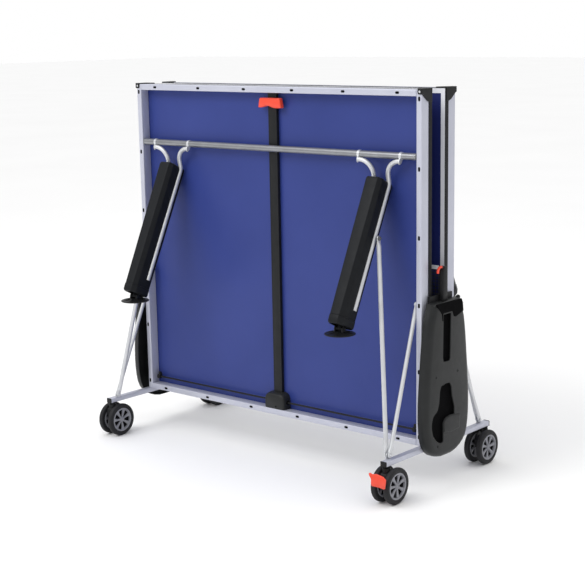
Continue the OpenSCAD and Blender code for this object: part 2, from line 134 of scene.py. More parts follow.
class Nodes:
    """Short names for building one material's nodes."""

    def __init__(self, name):
        self.mat = bpy.data.materials.new(name)
        self.mat.use_nodes = True
        self.tree = self.mat.node_tree
        self.shader = self.tree.nodes["Principled BSDF"]
        self.place = self.add("ShaderNodeTexCoord").outputs["Object"]

    def add(self, kind, **settings):
        node = self.tree.nodes.new(kind)
        for key, value in settings.items():
            setattr(node, key, value)
        return node

    def link(self, a, b):
        self.tree.links.new(a, b)

    def noise(self, scale, detail=3.0, stretch=(1, 1, 1)):
        texture = self.add("ShaderNodeTexNoise")
        texture.inputs["Scale"].default_value = scale
        texture.inputs["Detail"].default_value = detail
        mapping = self.add("ShaderNodeMapping")
        mapping.inputs["Scale"].default_value = stretch
        self.link(self.place, mapping.inputs["Vector"])
        self.link(mapping.outputs[0], texture.inputs["Vector"])
        return texture.outputs["Fac"]

    def mix(self, factor, a, b):
        node = self.add("ShaderNodeMix", data_type="RGBA")
        for socket, value in ((node.inputs[0], factor), (node.inputs[6], a), (node.inputs[7], b)):
            if hasattr(value, "is_linked"):
                self.link(value, socket)
            elif isinstance(value, (int, float)):
                socket.default_value = value
            else:
                socket.default_value = (*value, 1)
        return node.outputs[2]

    def math(self, operation, a, b=0.0):
        node = self.add("ShaderNodeMath", operation=operation)
        for socket, value in zip(node.inputs, (a, b)):
            if hasattr(value, "is_linked"):
                self.link(value, socket)
            else:
                socket.default_value = value
        return node.outputs[0]

    def ramp(self, value, low, high, start, end):
        node = self.add("ShaderNodeMapRange")
        self.link(value, node.inputs[0])
        for socket, number in zip(node.inputs[1:5], (low, high, start, end)):
            socket.default_value = number
        return node.outputs[0]

    def axes(self):
        node = self.add("ShaderNodeSeparateXYZ")
        self.link(self.place, node.inputs[0])
        return node.outputs

    def bump(self, height, strength, distance=0.001):
        node = self.add("ShaderNodeBump")
        node.inputs["Strength"].default_value = strength
        node.inputs["Distance"].default_value = distance
        self.link(height, node.inputs["Height"])
        self.link(node.outputs[0], self.shader.inputs["Normal"])

    def base(self, color):
        self.link(color, self.shader.inputs["Base Color"])

    def rough(self, value):
        self.link(value, self.shader.inputs["Roughness"])


def material(name, color, rough=0.5, metal=0.0, vary=0.08, scale=30, grain=0.0, grain_scale=900,
             spec=0.5, dust=0.0):
    """Paint, plastic, rubber or metal: mottled colour, uneven gloss, fine surface grain."""
    n = Nodes(name)
    smudge = 0.06
    dark = tuple(c * (1 - vary) for c in color)
    light = tuple(min(1, c * (1 + vary)) for c in color)
    tint = n.mix(n.ramp(n.noise(scale, 5), 0.3, 0.7, 0, 1), dark, light)
    if dust:
        pale = tuple(c + 0.12 for c in color)
        tint = n.mix(n.ramp(n.noise(scale * 0.4, 6), 0.52, 0.8, 0, dust), tint, pale)
    n.base(tint)
    n.rough(n.ramp(n.noise(scale * 1.7, 4), 0.3, 0.7, max(0.02, rough - smudge), min(1, rough + smudge)))
    if grain:
        n.bump(n.noise(grain_scale, 2), grain, 0.0006)
    n.shader.inputs["Metallic"].default_value = metal
    n.shader.inputs["Specular IOR Level"].default_value = spec
    return n.mat


def board_material():
    """Blue lacquer with a faint grain; the playing side is darker, with white lines."""
    n = Nodes("blue_board")
    x, y, z = n.axes()
    across, depth = n.math("ABSOLUTE", x), n.math("ABSOLUTE", y)
    play = n.math("LESS_THAN", depth, SURFACE_Y + 0.0006)
    side = n.math("GREATER_THAN", across, HALF_W - 0.020)
    end = n.math("GREATER_THAN", z, EDGE_Z + HALF_L - 0.020)
    middle = n.math("LESS_THAN", across, 0.0015)
    line = n.math("MULTIPLY", play, n.math("MAXIMUM", side, n.math("MAXIMUM", end, middle)))
    cloud = n.ramp(n.noise(3.0, 4), 0.3, 0.7, 0, 1)
    under = n.mix(cloud, (0.023, 0.040, 0.198), (0.029, 0.048, 0.226))
    top = n.mix(cloud, (0.012, 0.018, 0.105), (0.015, 0.022, 0.125))
    n.base(n.mix(line, n.mix(play, under, top), (0.78, 0.79, 0.83)))
    n.rough(n.ramp(n.noise(60, 4), 0.3, 0.7, 0.36, 0.46))
    n.bump(n.noise(420, 3), 0.03, 0.0004)
    n.shader.inputs["Specular IOR Level"].default_value = 0.30
    return n.mat


def zinc_material():
    """Zinc-plated tube with a slight cloudiness and a fine grain."""
    n = Nodes("zinc_steel")
    cloud = n.ramp(n.noise(22, 5), 0.3, 0.7, 0, 1)
    n.base(n.mix(cloud, (0.60, 0.61, 0.63), (0.67, 0.68, 0.70)))
    n.rough(n.ramp(n.noise(40, 4), 0.3, 0.7, 0.40, 0.50))
    n.bump(n.noise(120, 2), 0.012, 0.0001)
    n.shader.inputs["Metallic"].default_value = 0.60
    return n.mat


def silver_material():
    """Silver powder paint with fine metallic flake and a soft coat."""
    n = Nodes("silver_paint")
    flake = n.ramp(n.noise(1400, 2), 0.35, 0.65, 0, 1)
    cloud = n.ramp(n.noise(5, 4), 0.3, 0.7, 0, 1)
    pale = n.mix(cloud, (0.52, 0.535, 0.63), (0.58, 0.595, 0.685))
    n.base(n.mix(n.math("MULTIPLY", flake, 0.35), pale, (0.42, 0.42, 0.48)))
    n.rough(n.ramp(n.noise(35, 5), 0.3, 0.7, 0.36, 0.48))
    n.bump(n.noise(700, 3), 0.10, 0.0004)
    n.shader.inputs["Metallic"].default_value = 0.35
    n.shader.inputs["Coat Weight"].default_value = 0.15
    n.shader.inputs["Coat Roughness"].default_value = 0.3
    return n.mat


def weave_material(name, color, pitch, rough=0.85):
    """Woven tape or cord: crossing ribs with a little fuzz, and painted shade that darkens the hollows
    between the ribs.
    """
    n = Nodes(name)
    x, y, z = n.axes()
    ribs = n.math("MULTIPLY", n.math("SINE", n.math("MULTIPLY", x, 2 * pi / pitch)),
                  n.math("SINE", n.math("MULTIPLY", z, 2 * pi / pitch)))
    # the colour is darker where the ribs are low: painted shade in the hollows of the weave
    shade = n.ramp(ribs, -1, 1, 0, 1)
    n.base(n.mix(shade, tuple(c * 0.82 for c in color), color))
    n.rough(n.ramp(n.noise(300, 3), 0.3, 0.7, rough - 0.06, rough + 0.06))
    n.bump(ribs, 0.35, 0.0003)
    n.shader.inputs["Sheen Weight"].default_value = 0.25
    return n.mat


PAINTS = {
    "black_plastic": dict(color=(0.010, 0.0105, 0.0115), rough=0.42, vary=0.12,
        grain=0.2, grain_scale=1300, spec=0.22),
    "leg_plastic": dict(color=(0.010, 0.011, 0.013), rough=0.42, vary=0.10,
        grain=0.2, grain_scale=1200, spec=0.12),
    "shell_plastic": dict(color=(0.018, 0.019, 0.0195), rough=0.36, vary=0.08,
        grain=0.18, grain_scale=1100, spec=0.22),
    "tyre_rubber": dict(color=(0.014, 0.014, 0.016), rough=0.60, vary=0.15,
        grain=0.35, grain_scale=700, dust=0.08, spec=0.25),
    "grey_plastic": dict(color=(0.230, 0.233, 0.262), rough=0.40, vary=0.07, grain=0.2, grain_scale=1100),
    "orange_plastic": dict(color=(0.80, 0.062, 0.026), rough=0.38, vary=0.05,
        grain=0.18, grain_scale=1100),
    "grey_steel": dict(color=(0.16, 0.165, 0.175), rough=0.42, metal=0.7, vary=0.12,
        grain=0.2, grain_scale=500),
    "black_rubber": dict(color=(0.010, 0.010, 0.011), rough=0.62, vary=0.15,
        grain=0.3, grain_scale=800, spec=0.25),
    "black_steel": dict(color=(0.012, 0.0125, 0.014), rough=0.40, metal=0.2, vary=0.12,
        grain=0.15, grain_scale=500, spec=0.25),
    "bar_steel": dict(color=(0.27, 0.275, 0.29), rough=0.34, metal=0.75, vary=0.08,
        grain=0.1, grain_scale=500),
    # very dark flat black: the colour of small black parts, and also painted shade on the rim discs and
    # inside the shell's pockets
    "flat_black_and_shade": dict(color=(0.004, 0.004, 0.0045), rough=0.8, vary=0.15, grain=0.2, spec=0.03),
}
MAT = {name: material(name, **paint) for name, paint in PAINTS.items()}
MAT["blue_board"] = board_material()
MAT["silver_paint"] = silver_material()
MAT["zinc_steel"] = zinc_material()
MAT["net_fabric"] = weave_material("net_fabric", (0.020, 0.021, 0.024), 0.0016)
MAT["tape_fabric"] = weave_material("tape_fabric", (0.80, 0.80, 0.82), 0.0014)


# ---- mesh building ----


def loft(bm, rings, caps=(True, True)):
    """Skin over closed rings of points; caps says whether the first and last ring are filled."""
    rows = [[bm.verts.new(p) for p in ring] for ring in rings]
    for a, b in zip(rows, rows[1:]):
        for i in range(len(a)):
            j = (i + 1) % len(a)
            bm.faces.new((a[i], a[j], b[j], b[i]))
    if caps[0]:
        bm.faces.new(rows[0][::-1])
    if caps[1]:
        bm.faces.new(rows[-1])
    return rows


def ring_edges(bm, ring):
    return [bm.edges.get((a, b)) for a, b in zip(ring, ring[1:] + ring[:1])]


def fill(bm, edges):
    bmesh.ops.triangle_fill(bm, edges=edges, use_beauty=True)


def fillet(points, radius, steps=3, closed=True):
    """Rounds the corners of a line of points; radius is one number or one for each point."""
    points = [Vector(p) for p in points]
    count, out = len(points), []
    for i, p in enumerate(points):
        r = radius[i] if hasattr(radius, "__len__") else radius
        if r == 0 or (not closed and i in (0, count - 1)):
            out.append(p)
            continue
        u, v = points[i - 1] - p, points[(i + 1) % count] - p
        half = u.angle(v) / 2
        reach = min(r / math.tan(half), u.length * 0.48, v.length * 0.48)
        a, b = p + u.normalized() * reach, p + v.normalized() * reach
        for k in range(steps + 1):
            t = k / steps
            out.append(a * (1 - t) ** 2 + p * 2 * t * (1 - t) + b * t * t)
    return out


def rounded_rect(w, h, r, steps=3):
    r = max(min(r, w / 2 * 0.98, h / 2 * 0.98), 1e-5)
    out = []
    for cx, cy, start in ((1, 1, 0), (-1, 1, 90), (-1, -1, 180), (1, -1, 270)):
        for k in range(steps + 1):
            t = math.radians(start + 90 * k / steps)
            out.append((cx * (w / 2 - r) + r * cos(t), cy * (h / 2 - r) + r * sin(t)))
    return out


def bar(bm, low, high, axis, r=0.003, soft=0.6, steps=3):
    """Bar between two corners, rounded along its length and slightly at its ends."""
    ax = "xyz".index(axis)
    others = [i for i in range(3) if i != ax]
    middle = [(a + b) / 2 for a, b in zip(low, high)]
    size = [b - a for a, b in zip(low, high)]
    e = r * soft
    rings = []
    for t, inset in ((low[ax], e), (low[ax] + e, 0), (high[ax] - e, 0), (high[ax], e)):
        ring = []
        for p, q in rounded_rect(size[others[0]] - 2 * inset, size[others[1]] - 2 * inset,
                max(r - inset, r * 0.3), steps):
            point = [0, 0, 0]
            point[ax], point[others[0]], point[others[1]] = t, middle[others[0]] + p, middle[others[1]] + q
            ring.append(point)
        rings.append(ring)
    loft(bm, rings)


def inset_outline(points, d):
    """Outline drawn in by d; the points run counter-clockwise."""
    count, out = len(points), []
    for i in range(count):
        p, q, r = (Vector(points[(i + k) % count]) for k in (-1, 0, 1))
        u, v = (q - p).normalized(), (r - q).normalized()
        a, b = Vector((-u.y, u.x)), Vector((-v.y, v.x))
        m = a + b
        out.append(q + m * (d / max(m.dot(a), 0.35)))
    return out


def counter_clockwise(points):
    points = [Vector(p[:2]) for p in points]
    area = sum(a.x * b.y - b.x * a.y for a, b in zip(points, points[1:] + points[:1]))
    return points if area > 0 else points[::-1]


def rounded(points, radius, steps=3):
    return counter_clockwise(fillet(points, radius, steps))


def slab(bm, outline, place, depths):
    """Loft of an outline through (depth, inset) steps; place turns (p, q, depth) into a point."""
    loft(bm, [[place(p[0], p[1], depth) for p in (inset_outline(outline, d) if d else outline)] for depth,
            d in depths])


def circle(centre, side, other, r, n):
    return [centre + (side * cos(2 * pi * k / n) + other * sin(2 * pi * k / n)) * r for k in range(n)]


def sweep(bm, path, r, n):
    """Round rod along a path."""
    path = [Vector(p) for p in path]
    rings, side = [], None
    for i, p in enumerate(path):
        along = (path[min(i + 1, len(path) - 1)] - path[max(i - 1, 0)]).normalized()
        if side is None:
            side = along.orthogonal().normalized()
        side = (side - along * side.dot(along)).normalized()
        other = along.cross(side)
        rings.append(circle(p, side, other, r, n))
    loft(bm, rings)


def lathe(bm, profile, centre, axis, n=48, closed=False):
    """Turns (radius, height) pairs about an axis through centre."""
    axis = Vector(axis).normalized()
    side = axis.orthogonal().normalized()
    other = axis.cross(side)
    centre = Vector(centre)
    rows = []
    for r, h in profile:
        base = centre + axis * h
        if r < 1e-6:
            rows.append([bm.verts.new(base)])
        else:
            rows.append([bm.verts.new(p) for p in circle(base, side, other, r, n)])
    pairs = list(zip(rows, rows[1:])) + ([(rows[-1], rows[0])] if closed else [])
    for a, b in pairs:
        for k in range(n):
            j = (k + 1) % n
            if len(a) == 1 and len(b) == 1:
                continue
            if len(a) == 1:
                bm.faces.new((a[0], b[j], b[k]))
            elif len(b) == 1:
                bm.faces.new((a[k], a[j], b[0]))
            else:
                bm.faces.new((a[k], a[j], b[j], b[k]))


def mirrored(half):
    """Profile of a turned piece that is the same at both ends, from one end's (radius, height) pairs."""
    return [(r, -h) for r, h in half] + [(r, h) for r, h in reversed(half)]


def pin(bm, r, low, high, centre, axis, n=20):
    lathe(bm, [(0, low), (r, low), (r, high), (0, high)], centre, axis, n)


def bolt(bm, centre, axis, r=0.0065, h=0.0045, washer=0.009):
    """Hexagon head on a washer, facing along axis."""
    axis = Vector(axis).normalized()
    lathe(bm, [(0, 0), (washer, 0), (washer, 0.001), (washer - 0.0006, 0.0014), (0, 0.0014)], centre,
        axis, 24)
    side = axis.orthogonal().normalized()
    other = axis.cross(side)
    centre = Vector(centre) + axis * 0.0014
    rings = []
    for height, radius in ((0, r), (h * 0.8, r), (h, r * 0.86)):
        rings.append([centre + axis * height + (side * cos(k * pi / 3) + other * sin(k * pi / 3)) * radius
                for k in range(6)])
    loft(bm, rings)


def screw(bm, centre, axis, r=0.004):
    """Round screw head with a sunk middle."""
    lathe(bm, [(0, 0.0004), (r * 0.45, 0.0003), (r * 0.55, 0.0012), (r * 0.85, 0.001), (r, 0),
            (r, -0.001)], centre, axis, 20)


def flat_rod(bm, low, high, r, eye=0.010, thin=0.003, run=0.030):
    """Round rod whose ends are pressed flat into round eyes, across X."""
    low, high = Vector(low), Vector(high)
    along = (high - low).normalized()
    side = Vector((1, 0, 0))
    other = along.cross(side).normalized()
    steps = [(-eye * f, thin, eye * math.sqrt(max(0.0, 1 - f * f)) + 0.0004) for f in (1, 0.92, 0.75, 0.5,
            0.25)]
    steps += [(0, thin, eye), (eye, thin, eye * 0.98)]
    steps += [(eye + (run - eye) * t, thin + (r - thin) * t * t * (3 - 2 * t),
            eye * 0.98 + (r - eye * 0.98) * t * t * (3 - 2 * t)) for t in (0.25, 0.5, 0.75, 1)]
    stations = [(low, s, a, b) for s, a, b in steps] + [(high, -s, a, b) for s, a, b in reversed(steps)]
    rings = []
    n = 24
    for base, s, a, b in stations:
        blend = min(1, max(0, (a - thin) / (r - thin)))
        power = 0.35 + 0.65 * blend
        ring = []
        for k in range(n):
            c, d = cos(2 * pi * k / n), sin(2 * pi * k / n)
            ring.append(base + along * s + side * (a * math.copysign(abs(c) ** power, c)) + other
                * (b * math.copysign(abs(d) ** (0.75 + 0.25 * blend), d)))
        rings.append(ring)
    loft(bm, rings)


def finish_mesh(name, bm, look, body, nodes=(), angle=38, slot=None, bevel=0):
    """Makes a piece of a mesh; its slot argument is not used."""
    bmesh.ops.recalc_face_normals(bm, faces=bm.faces)
    mesh = bpy.data.meshes.new(name)
    bm.to_mesh(mesh)
    bm.free()
    piece = bpy.data.objects.new(name, mesh)
    SCENE.collection.objects.link(piece)
    mesh.materials.append(MAT[look])
    mesh.shade_smooth()
    mesh.set_sharp_from_angle(angle=math.radians(angle))
    if bevel:
        add_bevel(piece, bevel)
    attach(piece, body)
    if nodes:
        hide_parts(*nodes)
    return piece


def add_bevel(piece, width, segments=2):
    mod = piece.modifiers.new("edges", "BEVEL")
    mod.width, mod.segments, mod.limit_method, mod.angle_limit = width, segments, "ANGLE", math.radians(38)
    mod.harden_normals = True


TURN = Matrix.Rotation(pi, 4, "Z")


def both(name, build, look, body, nodes=(), **more):
    """Builds a piece of the front half, and its half-turn copy for the rear half."""
    pieces = []
    for end in ("front", "rear"):
        bm = bmesh.new()
        build(bm)
        if end == "rear":
            bm.transform(TURN)
        pieces.append(finish_mesh(f"{end}_{name}", bm, look, f"{end}_{body}",
                [f"{end}_{n}" for n in nodes], **more))
    return pieces


def one(name, build, look, body, nodes=(), turned=False, **more):
    bm = bmesh.new()
    build(bm)
    if turned:
        bm.transform(TURN)
    return finish_mesh(name, bm, look, body, nodes, **more)


# ---- the two halves ----


def side_rails(bm):
    for s in (-1, 1):
        x = sorted((s * HALF_W, s * (HALF_W - APRON_W)))
        bar(bm, on_half(x[0], APRON_V, 0), on_half(x[1], BOARD_T, HALF_L), "z", 0.0032, steps=4)


def end_rails(bm):
    inner = HALF_W - APRON_W - 0.0003
    for u in (0, HALF_L - APRON_W):
        bar(bm, on_half(-inner, APRON_V, u), on_half(inner, BOARD_T, u + APRON_W), "x", 0.0032, steps=4)


def corner_caps(bm):
    """Rubber bumpers, drawn as three thick plates that the remesh melts together."""
    reach, skin = 0.048, 0.0042
    for s in (-1, 1):
        def side(v, u, out):
            return on_half(s * (HALF_W - 0.004 + out), v, u)

        def top(x, v, out):
            return on_half(s * x, v, HALF_L - 0.004 + out)

        def front(x, u, out):
            return on_half(s * x, APRON_V - 0.004 + out, u)

        outer = 0.004 + skin
        shape = [(0.0035, HALF_L + skin), (0.0035, HALF_L - reach), (0.020, HALF_L - reach),
            (0.034, HALF_L - 0.043), (0.052, HALF_L - 0.029), (0.064, HALF_L - 0.019),
            (APRON_V + skin, HALF_L - 0.017), (APRON_V + skin, HALF_L + skin)]
        slab(bm, shape, side, [(0, 0), (outer, 0)])
        shape = [(HALF_W - (HALF_L - u), v) for v, u in shape]
        slab(bm, shape, top, [(0, 0), (outer, 0)])
        edge = HALF_W + skin
        shape = [(edge, HALF_L + skin), (edge - 0.021, HALF_L + skin), (edge - 0.021, HALF_L - 0.017),
            (edge, HALF_L - 0.017)]
        slab(bm, shape, front, [(0, 0), (outer, 0)])


def corner_studs(bm):
    for s in (-1, 1):
        place = on_half(s * (HALF_W - 0.0075), APRON_V + 0.0044, HALF_L - 0.0075)
        lathe(bm, [(0, 0), (0.0042, 0.0002), (0.0048, -0.001)], place, (0, -1, 0), 24)


def corner_rings(bm):
    for s in (-1, 1):
        place = on_half(s * (HALF_W - 0.0075), APRON_V + 0.0032, HALF_L - 0.0075)
        lathe(bm, [(0.0046, 0.0002), (0.0052, 0.0014), (0.0075, 0.0017), (0.0095, 0.0012),
                (0.0105, -0.001), (0.0046, -0.001)], place, (0, -1, 0), 32, closed=True)


def plugs(bm):
    """Oval push-in plugs along the flange."""
    spots = [(s * (HALF_W - 0.0115), 0.036 + k * 0.26, "z") for s in (-1, 1) for k in range(6)]
    spots += [((k - 2.5) * 0.26, u, "x") for k in range(6) for u in (0.0125, HALF_L - 0.0125)]
    for x, u, way in spots:
        w, h = (0.0175, 0.0092) if way == "x" else (0.0092, 0.0175)
        outline = rounded_rect(w, h, 0.0046, 5)
        slab(bm, outline, lambda p, q, d: on_half(x + p, APRON_V + d, u + q),
            [(-0.001, 0), (0.0007, 0), (0.0011, 0.0008)])


def centre_channel(bm):
    low, high = on_half(-0.022, 0.038, 0.090), on_half(0.022, 0.0215, HALF_L - 0.024)
    bar(bm, low, high, "z", 0.003)
    for x in (-0.0225, 0.0165):
        bar(bm, on_half(x, 0.0385, 0.092), on_half(x + 0.006, 0.030, HALF_L - 0.0245), "z", 0.0015)


def lock_box(bm):
    def outline(w, low, high, r):
        return fillet([(-w, low), (w, low), (w, high), (-w, high)], [0.003, 0.003, r, r], 6)

    rings = []
    for v, w, high, r in ((0.0215, 0.055, 0.094, 0.034), (0.040, 0.055, 0.094, 0.034),
            (0.052, 0.0545, 0.092, 0.032), (0.060, 0.053, 0.089, 0.029), (0.0638, 0.0505, 0.086, 0.026),
            (0.0655, 0.047, 0.083, 0.023)):
        rings.append([on_half(p.x, v, p.y) for p in outline(w, 0.0255, high, r)])
    loft(bm, rings)


def lock_box_trim(bm):
    screw(bm, on_half(0.010, 0.0657, 0.036), (0, -1, 0), 0.0035)
    for s in (-1, 1):
        lathe(bm, [(0.0062, -0.002), (0.0085, -0.002), (0.0085, 0.004), (0.0062, 0.006)],
            on_half(s * 0.0545, LATCH_V, LATCH_U), (s, 0, 0), 24, closed=True)


def release_handle(bm):
    """Pull handle: a bowed bar with a finger arch cut into its lower edge."""
    base = HALF_L - 0.087
    top = [(-0.054 + 0.108 * t, 0.041) for t in (0, 0.25, 0.5, 0.75, 1)]
    low = []
    for k in range(15):
        t = k / 14
        x = 0.062 - 0.124 * t
        rise = 0.0085 * math.exp(-((x + 0.012) / 0.022) ** 2) - 0.0012 * math.exp(
            -((x - 0.035) / 0.018) ** 2)
        low.append((x, 0.0015 + rise))
    radii = [0.004] + [0] * 13 + [0.004, 0.006, 0, 0, 0, 0.006]
    outline = fillet(low + top, radii, 4)[::-1]
    rings = []
    for depth, inset in ((0.039, 0.002), (0.040, 0.0), (0.0545, 0.0), (0.0568, 0.0012), (0.0578, 0.0034)):
        ring = []
        for p in inset_outline(outline, inset):
            bow = 0.0022 * (1 - (p.x / 0.062) ** 2) if depth > 0.05 else 0
            ring.append(on_half(p.x, depth - 0.0022 + bow, base + p.y))
        rings.append(ring)
    loft(bm, rings, (True, False))
    fill(bm, [e for e in bm.edges if e.is_boundary])


def latch_rod(bm):
    reach = HALF_W - APRON_W - 0.012
    for s in (-1, 1):
        points = [on_half(s * (0.050 + (reach - 0.050) * t), LATCH_V, LATCH_U) for t in (0, 0.5, 1)]
        sweep(bm, points, 0.004, 16)
        x = s * (reach - 0.011)
        hook = fillet([(-0.011, -0.009), (0.011, -0.009), (0.011, 0.012), (0.004, 0.022), (-0.001, 0.022),
                (-0.002, 0.010), (-0.011, 0.008)], 0.004, 3)
        loft(bm, [[on_half(x + d, LATCH_V - a.x, LATCH_U + a.y) for a in hook] for d in (-0.005, 0.005)])
        lathe(bm, mirrored([(0.004, 0.0075), (0.010, 0.0075), (0.011, 0.0065)]),
            on_half(x, LATCH_V, LATCH_U), ACROSS, 28)


def edge_band(bm):
    """Rubber band round the edge of the board, with a small bead on both faces."""
    w, t = 0.0016, 0.0006
    for s in (-1, 1):
        x = sorted((s * HALF_W, s * (HALF_W - w)))
        bar(bm, on_half(x[0], BOARD_T, 0), on_half(x[1], -t + 0.0004, HALF_L), "z", 0.0006)
    for u in (0, HALF_L - w):
        bar(bm, on_half(-HALF_W + 0.0004, BOARD_T, u), on_half(HALF_W - 0.0004, -t + 0.0004, u + w), "x",
            0.0006)


def crossbar(bm):
    end = HALF_W - APRON_W - 0.003
    half = [(0, end + 0.005), (0.006, end + 0.005), (0.006, end), (0.0125, end), (0.0135, end - 0.0012)]
    lathe(bm, mirrored(half), (0, BAR_Y, BAR_Z), ACROSS, 48)


def crossbar_tabs(bm):
    for s in (-1, 1):
        for t in (-1, 1):
            x = s * LEG_X + t * 0.100
            outline = fillet([(-0.010, 0.006), (0.010, 0.006), (0.009, 0.026), (0.002, 0.036),
                    (-0.002, 0.036), (-0.009, 0.026)], 0.003, 3)
            loft(bm, [[on_leg(x + d, p.y, p.x) for p in outline] for d in (-0.0015, 0.0015)])
            lathe(bm, mirrored([(0.0134, 0.006), (0.0150, 0.0052)]), (x, BAR_Y, BAR_Z), ACROSS, 40)


def leg_tubes(bm):
    tilt = math.radians(38)
    bend, start = 0.060, 0.0229
    straight = (0.057 - bend * sin(tilt)) / sin(tilt)

    def tilted(x, z):
        return (x, start - z * cos(tilt), -z * sin(tilt))

    for s in (-1, 1):
        for t in (-1, 1):
            line = [tilted(bend + 0.0044, 0), tilted(bend, 0)]
            line += [tilted(bend - bend * cos(a), -bend + bend * sin(a))
                for a in (pi / 2 * (1 - k / 12) for k in range(1, 13))]
            kink = tilted(0, -bend - straight)
            corner = [Vector(line[-1]), Vector(kink), Vector((0, 0.605, 0.057))]
            line += fillet(corner, [0, 0.06, 0], 8, closed=False)[1:]
            path = [on_leg(s * LEG_X + t * (0.034 + x), a, b) for x, a, b in line]
            sweep(bm, path, 0.009, 24)


COVER = [(-0.027, -0.014), (0.027, -0.014), (0.039, 0.006), (0.036, 0.044), (0.035, 0.070),
    (0.034, 0.080), (0.025, 0.090), (-0.025, 0.090), (-0.034, 0.080), (-0.035, 0.070), (-0.036, 0.044),
    (-0.039, 0.006)]


def leg_covers(bm):
    outline = fillet(COVER, [0.004, 0.004, 0.010, 0.02, 0.02, 0.006, 0.010, 0.010, 0.006, 0.02, 0.02,
            0.010], 4)
    steps = [(0.090, 0.010), (0.0908, 0.006), (0.093, 0.0028), (0.097, 0.0008), (0.102, 0), (0.115, 0),
        (0.127, 0)] + [(0.102 + 0.067 * k, 0) for k in range(1, 9)] + [(0.6405, 0), (0.6418, 0.0010)]
    collar = [(0.6418, 0.0008), (0.6430, -0.0012), (0.646, -0.0015), (0.6670, -0.0015), (0.6720, 0.0002),
        (0.6750, 0.0030), (0.676, 0.0065), (0.6755, 0.0115), (0.664, 0.0120)]

    def tapered(p, q, a):
        t = max(0.0, (a - 0.10) / 0.57) * max(0.0, 1 - max(0.0, q) / 0.040)
        return p * (1 - 0.20 * t), min(q + 0.004 * t, (0.0285 + a * sin(LEAN)) / cos(LEAN))

    for s in (-1, 1):
        for part in (steps, collar):
            slab(bm, outline, lambda p, q, a: on_leg(s * LEG_X + tapered(p, q, a)[0], a,
                    tapered(p, q, a)[1]), part)
        lathe(bm, [(0, -0.002), (0.0105, -0.002), (0.0110, 0.002), (0.0110, 0.022)],
            on_leg(s * LEG_X, 0.664, FOOT_B), on_leg(0, 1, 0) - on_leg(0, 0, 0), 28)
        pivot = on_side(s, on_leg(LEG_X, FOOT_A, FOOT_B))
        lathe(bm, mirrored([(0, 0.023), (0.0072, 0.023), (0.008, 0.022)]), pivot, ACROSS, 28)


FOOT = on_leg(0, FOOT_A, FOOT_B)


def feet(bm):
    for s in (-1, 1):
        base = Vector((s * LEG_X, FOOT.y, FOOT.z - 0.022))
        lathe(bm, [(0, 0), (0.0565, 0), (0.0592, 0.0006), (0.060, 0.0022), (0.0595, 0.0040),
                (0.057, 0.0052), (0.050, 0.0058), (0.034, 0.0075), (0.026, 0.010), (0.022, 0.012),
                (0, 0.012)], base, UP, 64)
        for t in (-1, 1):
            x = s * LEG_X + t * 0.018
            outline = [(-0.013, 0.004), (0.013, 0.004)] + [(0.011 * cos(a), 0.022 + 0.011 * sin(a))
                for a in (pi * k / 10 for k in range(11))]
            slab(bm, outline, lambda p, q, d: Vector((x + d, base.y + p, base.z + q)),
                [(-0.003, 0.0006), (-0.0024, 0), (0.0024, 0), (0.003, 0.0006)])
        for k in range(8):
            a = pi / 4 * k + pi / 8
            rib = [(0.024, 0.0085), (0.050, 0.0050), (0.050, 0.0066), (0.024, 0.0128)]
            side = Vector((-sin(a), cos(a), 0)) * 0.0013
            loft(bm, [[base + Vector((r * cos(a), r * sin(a), z)) + side * d for r, z in rib]
                    for d in (-1, 1)])


def on_side(s, point):
    """The same point on the left (-1) or right (1) of the table."""
    return Vector((s * point.x, point.y, point.z))


STAY_TOP, STAY_LOW = on_leg(0.616, 0.314, 0.057), Vector((0.7445, -0.312, 0.184))
STRUT_TOP, STRUT_LOW = Vector((0.7245, -0.088, EDGE_Z + 0.5562126)), Vector((0.7575, -0.308, 0.184))


def stay_rods(bm):
    for s in (-1, 1):
        low, top = on_side(s, STAY_LOW), on_side(s, STAY_TOP)
        flat_rod(bm, low, top, 0.009)
        bolt(bm, (low.x - s * 0.003, low.y, low.z), (-s, 0, 0), 0.0055, 0.0035, 0.008)
        pin(bm, 0.005, 0, 0.0045, low, (s, 0, 0))


def leg_bolts(bm):
    """Bolts that carry the upper ends of the stays, with a hexagon head outside."""
    for s in (-1, 1):
        top = STAY_TOP
        pin(bm, 0.004, -0.014, 0.012, on_side(s, top), ACROSS)
        bolt(bm, (s * (top.x + 0.0035), top.y, top.z), (s, 0, 0), 0.007, 0.005, 0.0095)


def struts(bm):
    for s in (-1, 1):
        low, top = on_side(s, STRUT_LOW), on_side(s, STRUT_TOP)
        flat_rod(bm, low, top, 0.008)
        pin(bm, 0.005, 0, 0.016, top, (s, 0, 0))
        bolt(bm, (top.x - s * 0.003, top.y, top.z), (-s, 0, 0))
        bolt(bm, (low.x + s * 0.003, low.y, low.z), (s, 0, 0), 0.0055, 0.0035, 0.008)
        pin(bm, 0.005, 0, 0.0045, low, (-s, 0, 0))


both("side_rail_tubes", side_rails, "silver_paint", "top", ["side_rails"])
both("end_rail_tubes", end_rails, "silver_paint", "top", ["end_rails"])
both("edge_rubber", edge_band, "black_rubber", "top", ["edge_band"])
for piece in both("corner_bumpers", corner_caps, "black_plastic", "top", ["corner_caps"], angle=180):
    mod = piece.modifiers.new("melt", "REMESH")
    mod.mode, mod.voxel_size, mod.use_smooth_shade = "VOXEL", 0.0011, True
    mod = piece.modifiers.new("soften", "SMOOTH")
    mod.factor, mod.iterations = 0.5, 8
both("corner_studs", corner_studs, "zinc_steel", "top")
both("corner_rings", corner_rings, "black_plastic", "top")
both("oval_plugs", plugs, "flat_black_and_shade", "top", ["apron_plugs"], slot="black_plastic")
both("cable_channel", centre_channel, "black_plastic", "top", ["centre_channel"])
both("lock_housing", lock_box, "shell_plastic", "top", ["lock_box"], slot="black_plastic")
both("lock_trim", lock_box_trim, "flat_black_and_shade", "top", slot="black_plastic")
both("pull_handle", release_handle, "orange_plastic", "handle", ["release_handle"], angle=50)
both("latch_bar", latch_rod, "black_steel", "latch", ["latch_rod"], bevel=0.0006)
